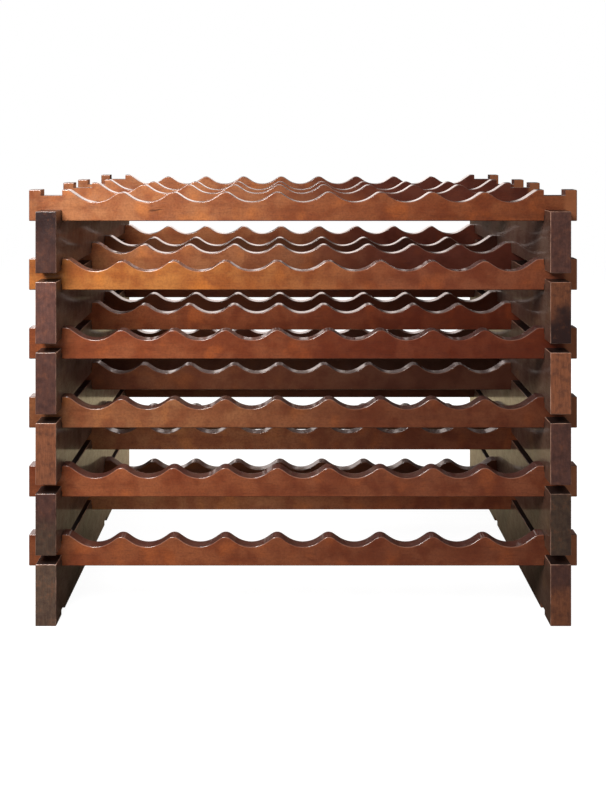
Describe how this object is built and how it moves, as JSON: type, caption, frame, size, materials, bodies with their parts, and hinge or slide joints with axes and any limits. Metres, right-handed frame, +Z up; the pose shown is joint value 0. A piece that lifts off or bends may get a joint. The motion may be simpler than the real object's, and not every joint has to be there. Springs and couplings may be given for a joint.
{
  "type": "wine rack",
  "caption": "Free-standing wooden wine rack: scalloped rails notched across side boards in a tall dry-laid stack, bottles lying front to back.",
  "frame": {"origin": "on the floor under the middle of the rack", "axes": "+X along the rails to the right, -Y to the front, +Z up"},
  "size_m": [1.018, 0.6, 0.789],
  "materials": {
    "rail_wood": "reddish brown stain under satin lacquer",
    "board_wood": "dark brown stain under satin lacquer"
  },
  "bodies": {
    "tier1_boards": {"tier1_left_side_board": "board_wood", "tier1_right_side_board": "board_wood"},
    "tier1_rails": {"tier1_front_rail": "rail_wood", "tier1_inner_front_rail": "rail_wood", "tier1_inner_rear_rail": "rail_wood", "tier1_rear_rail": "rail_wood"},
    "tier2_boards": {"tier2_left_side_board": "board_wood", "tier2_right_side_board": "board_wood"},
    "tier2_rails": {"tier2_front_rail": "rail_wood", "tier2_inner_front_rail": "rail_wood", "tier2_inner_rear_rail": "rail_wood", "tier2_rear_rail": "rail_wood"},
    "tier3_boards": {"tier3_left_side_board": "board_wood", "tier3_right_side_board": "board_wood"},
    "tier3_rails": {"tier3_front_rail": "rail_wood", "tier3_inner_front_rail": "rail_wood", "tier3_inner_rear_rail": "rail_wood", "tier3_rear_rail": "rail_wood"},
    "tier4_boards": {"tier4_left_side_board": "board_wood", "tier4_right_side_board": "board_wood"},
    "tier4_rails": {"tier4_front_rail": "rail_wood", "tier4_inner_front_rail": "rail_wood", "tier4_inner_rear_rail": "rail_wood", "tier4_rear_rail": "rail_wood"},
    "tier5_boards": {"tier5_left_side_board": "board_wood", "tier5_right_side_board": "board_wood"},
    "tier5_rails": {"tier5_front_rail": "rail_wood", "tier5_inner_front_rail": "rail_wood", "tier5_inner_rear_rail": "rail_wood", "tier5_rear_rail": "rail_wood"},
    "tier6_boards": {"tier6_left_side_board": "board_wood", "tier6_right_side_board": "board_wood"},
    "tier6_front_rail": {"tier6_front_rail": "rail_wood"},
    "tier6_inner_front_rail": {"tier6_inner_front_rail": "rail_wood"},
    "tier6_inner_rear_rail": {"tier6_inner_rear_rail": "rail_wood"},
    "tier6_rear_rail": {"tier6_rear_rail": "rail_wood"}
  },
  "joints": [
    {"name": "tier1_rails_lift", "type": "slide", "parent": "tier1_boards", "child": "tier1_rails", "axis": [0, 0, 1], "range_m": [0, 0.03]},
    {"name": "tier2_boards_lift", "type": "slide", "parent": "tier1_rails", "child": "tier2_boards", "axis": [0, 0, 1], "range_m": [0, 0.03]},
    {"name": "tier2_rails_lift", "type": "slide", "parent": "tier2_boards", "child": "tier2_rails", "axis": [0, 0, 1], "range_m": [0, 0.03]},
    {"name": "tier3_boards_lift", "type": "slide", "parent": "tier2_rails", "child": "tier3_boards", "axis": [0, 0, 1], "range_m": [0, 0.03]},
    {"name": "tier3_rails_lift", "type": "slide", "parent": "tier3_boards", "child": "tier3_rails", "axis": [0, 0, 1], "range_m": [0, 0.03]},
    {"name": "tier4_boards_lift", "type": "slide", "parent": "tier3_rails", "child": "tier4_boards", "axis": [0, 0, 1], "range_m": [0, 0.03]},
    {"name": "tier4_rails_lift", "type": "slide", "parent": "tier4_boards", "child": "tier4_rails", "axis": [0, 0, 1], "range_m": [0, 0.03]},
    {"name": "tier5_boards_lift", "type": "slide", "parent": "tier4_rails", "child": "tier5_boards", "axis": [0, 0, 1], "range_m": [0, 0.03]},
    {"name": "tier5_rails_lift", "type": "slide", "parent": "tier5_boards", "child": "tier5_rails", "axis": [0, 0, 1], "range_m": [0, 0.03]},
    {"name": "tier6_boards_lift", "type": "slide", "parent": "tier5_rails", "child": "tier6_boards", "axis": [0, 0, 1], "range_m": [0, 0.03]},
    {"name": "tier6_front_rail_lift", "type": "slide", "parent": "tier6_boards", "child": "tier6_front_rail", "axis": [0, 0, 1], "range_m": [0, 0.03]},
    {"name": "tier6_inner_front_rail_lift", "type": "slide", "parent": "tier6_boards", "child": "tier6_inner_front_rail", "axis": [0, 0, 1], "range_m": [0, 0.03]},
    {"name": "tier6_inner_rear_rail_lift", "type": "slide", "parent": "tier6_boards", "child": "tier6_inner_rear_rail", "axis": [0, 0, 1], "range_m": [0, 0.03]},
    {"name": "tier6_rear_rail_lift", "type": "slide", "parent": "tier6_boards", "child": "tier6_rear_rail", "axis": [0, 0, 1], "range_m": [0, 0.03]}
  ]
}
